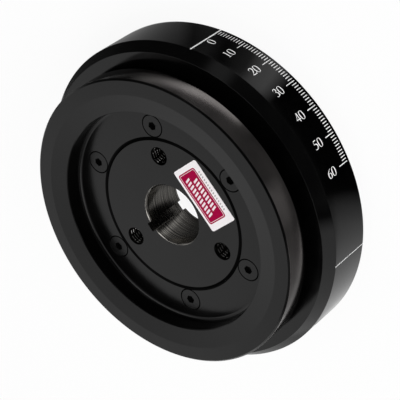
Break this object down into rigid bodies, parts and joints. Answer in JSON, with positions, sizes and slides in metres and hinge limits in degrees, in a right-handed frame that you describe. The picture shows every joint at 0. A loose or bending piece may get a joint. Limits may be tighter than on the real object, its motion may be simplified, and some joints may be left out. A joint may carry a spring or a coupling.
{
  "type": "harmonic balancer",
  "caption": "Round black crankshaft damper: keyed hub with threaded pulley holes, dished screwed-on plate and a rubber-bonded outer ring with a degree scale.",
  "frame": {"origin": "centre of the rear face that the part stands on, on the bore's axis", "axes": "+Z along the bore towards the dished front face, +Y towards the keyway"},
  "size_m": [0.1714, 0.1714, 0.0484],
  "materials": {
    "hub_black": "black oxide on machined steel, satin",
    "plate_black": "semi-gloss black over turned steel",
    "screw_black": "black oxide, satin",
    "ring_black": "gloss black with white engraved lines",
    "elastomer": "matte bonded rubber",
    "label_paper": "printed vinyl sticker"
  },
  "bodies": {
    "root": {"hub": "hub_black", "retaining_plate": "plate_black", "plate_screws": "screw_black", "inertia_ring": "ring_black", "elastomer_ring": "elastomer", "label": "label_paper"}
  },
  "joints": []
}
